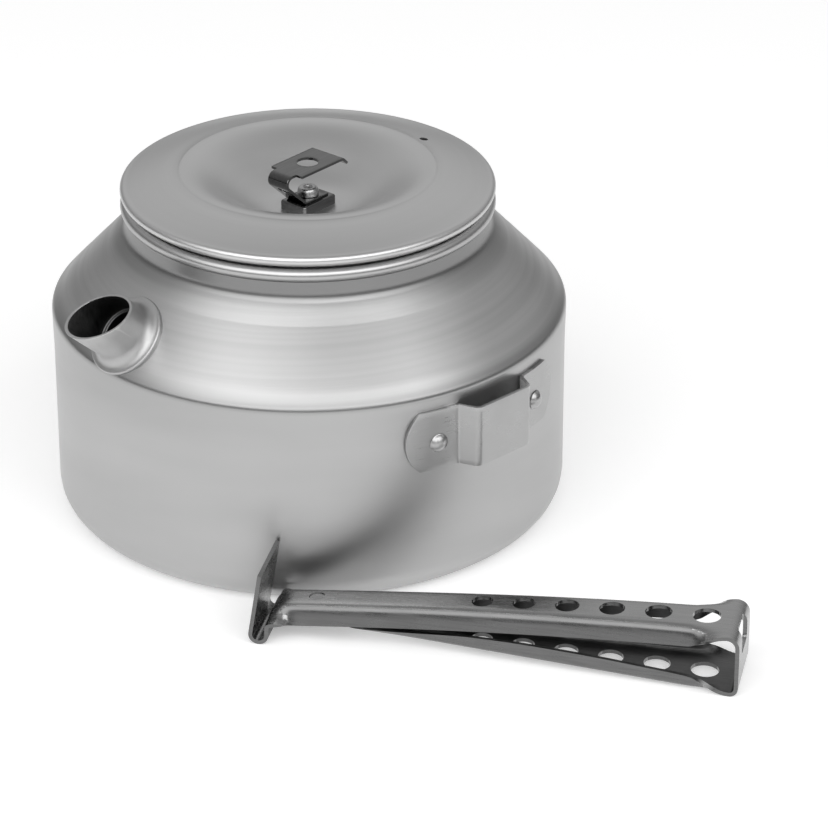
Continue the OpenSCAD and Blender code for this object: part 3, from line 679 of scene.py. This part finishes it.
web_hook, web_far, hook_half, far_half = 12.8 / 2 - bend_r, 7, 12.5, 12.7
hook_flange = hook_half - bend_len - web_hook
far_flange = far_half - bend_len - web_far
lean = math.radians(tongue_lean)
tongue_x = hook_at - hook_r * math.cos(lean) + (tongue_h - hook_at) * math.tan(lean)
tongue_low = (hook_at - hook_r * math.cos(lean), hook_at)
rows = [row(tongue_x + (tongue_low[0] - tongue_x) * f, tongue_h + (tongue_low[1] - tongue_h) * f,
            -90 - tongue_lean, web_hook, 0, hook_flange) for f in (0, 0.3, 0.6, 0.85)]
for k in range(13):
    angle = 180 - tongue_lean + (180 + tongue_lean) * k / 12
    turn = math.radians(angle)
    rows.append(row(hook_at + hook_r * math.cos(turn), hook_at + hook_r * math.sin(turn), angle - 270,
                    web_hook, 0, hook_flange))
limb_flange, limb_taper = 7.7 - bend_r, 0.6
rows += [
    row(leg_x, 5.6, 90, web_hook, 0, hook_flange),
    row(leg_x, 7.2, 90, web_hook, 0, hook_flange),
    row(leg_x + 0.35, 8.6, 68, web_hook, 10, hook_flange),
    row(limb_start - 2.9, 9.55, 52, web_hook, 21, hook_flange * 0.86 + limb_flange * 0.14),
    row(limb_start - 1.6, limb_foot - 1.7, 47, web_hook, 33, hook_flange * 0.7 + limb_flange * 0.3),
    row(limb_start + 0.5, limb_foot + 0.05, 27, web_hook, 60, hook_flange * 0.4 + limb_flange * 0.6),
    row(limb_start + 3, limb_z(limb_start + 3), slope(limb_start + 3), web_hook, 82, limb_flange),
]
for x in (limb_start + 8, 26, 38, 49.35, 60, 69.1, 80, 90.5, 103, 115.15, 126, 137, 143, length - flare):
    width = between(x, (limb_start + 8, 12.8), (49.35, 13.2), (82.05, 14.4), (length - flare, 16.8))
    rows.append(row(x, limb_z(x), slope(x), width / 2 - bend_r, 77,
                    limb_flange - limb_taper * (x - limb_start) / length))
for part, fold, spread in ((0.92, 70, 0.3), (0.76, 54, 0.6), (0.6, 30, 0.85), (0.46, 8, 0.97)):
    x = length - flare * part
    rows.append(row(x, limb_z(x), slope(x), 5.4 + (web_far - 5.4) * spread, fold,
                    limb_flange - limb_taper + (far_flange - limb_flange + limb_taper) * spread))
for at_x, at_z, radius, start in ((length - far_r, limb_top - far_r, far_r, 90), (length - 3, 3, 3, 0)):
    for k in range(7):
        angle = start - 15 * k
        turn = math.radians(angle)
        rows.append(row(at_x + radius * math.cos(turn), at_z + radius * math.sin(turn), angle - 90,
                        web_far, 0, far_flange))
lower_heading = 180 - math.degrees(math.atan(tip_lift / lower_len))


def lower_z(x):
    """Height of the lower limb's underside: it rises a little towards its tip."""
    return tip_lift * (lower_end - x) / lower_len


for part, fold, spread in ((0.34, 4, 0.05), (0.5, 20, 0.2), (0.68, 48, 0.55), (0.86, 75, 0.8)):
    x = length - flare * part
    rows.append(row(x, lower_z(x), lower_heading, web_far + (8.75 - web_far) * spread, fold,
                    far_flange + (2 - far_flange) * spread))
for x in (length - flare, 137, 126, 115.15, 103, 90.5, 82, 72.4, 66, 59.2):
    width = between(x, (59.2, 12), (82.05, 15), (length - flare, 23.5))
    rows.append(row(x, lower_z(x), lower_heading, width / 2 - bend_r, 90,
                    between(x, (59.2, 0.6), (72.4, 2.2), (90.5, 3), (115.15, 3), (length - flare, 2))))
for along, web, fold, flange in ((14, 1.9, 55, 0.7), (7, 1.5, 45, 0.5), (2, 1.2, 35, 0.4), (0, 0.2, 30, 0.3)):
    rows.append(row(lower_start + along, lower_z(lower_start + along), lower_heading, web, fold, flange))
handle = sheet("handle_strip", rows, 0)
modify(handle, "SUBSURF", levels=1, render_levels=1, boundary_smooth="PRESERVE_CORNERS")
handle_turn, long_grain = -12.2, (50, 0.8, 0.8)
handle_finish = pressed_metal("handle_drawn_steel", 0.34, 0.26, long_grain, handle_turn,
                              streak=0.03, bump=0.008)
# Painted shade: the strip's inner face, between the limbs and in the hook, gets a near-black copy of the
# steel.
handle_inside_painted_shade = pressed_metal("handle_strip_inside_painted_shade", 0.1, 0.35, (30, 0.35, 0.35), handle_turn)
handle_edge = pressed_metal("handle_cut_edge", 0.17, 0.35, (30, 0.3, 0.3), handle_turn)
# Painted shade: a darker copy of the drawn steel for the flanks.
handle_flank_painted_shade = pressed_metal("handle_drawn_flank_painted_shade", 0.165, 0.28, long_grain, handle_turn,
                             streak=0.02, bump=0.008)
dress(handle, handle_finish, handle_inside_painted_shade, handle_edge, handle_flank_painted_shade)
modify(handle, "SOLIDIFY", thickness=handle_t * mm, offset=-1, use_even_offset=True, material_offset=1,
       material_offset_rim=2)
# The holes get smaller and closer together from the far end towards the hook.
hole_back, hole_pitch, hole_d, pitch_step, d_step = 12.6, 15.9, 9.4, 0.49, 0.46
for k in range(6):
    x = length - hole_back - k * hole_pitch + pitch_step * k * (k - 1) / 2
    drill(handle, moved(x, 0, 12), (hole_d - d_step * k) / 2, 30, 64)
fresh()
bpy.ops.mesh.primitive_cube_add(size=mm, location=((length + 2.2) * mm, 0, (limb_top - 3) * mm),
                                scale=(8, 12, 14))
slot_cutter = bpy.context.object
bpy.ops.object.transform_apply(location=True, rotation=False, scale=True)
modify(slot_cutter, "BEVEL", width=1.6 * mm, segments=4)
cut(handle, slot_cutter)
# A shallow round stamp near the hook, and flanks that are darker than the top, as the photograph shows:
# painted shade.
stamp_x, stamp_r = 20.7, 2.7
drill(handle, moved(stamp_x, 0, limb_z(stamp_x)) @ spun(-slope(stamp_x), "Y"), stamp_r, 0.7)
for face in handle.data.polygons:
    if face.material_index == 0 and abs(face.normal.y) > 0.65:
        face.material_index = 3
put(handle, moved(-15.9, -101.7, 0) @ spun(handle_turn))
smooth(handle, 35)
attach(handle, "handle")
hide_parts("handle")
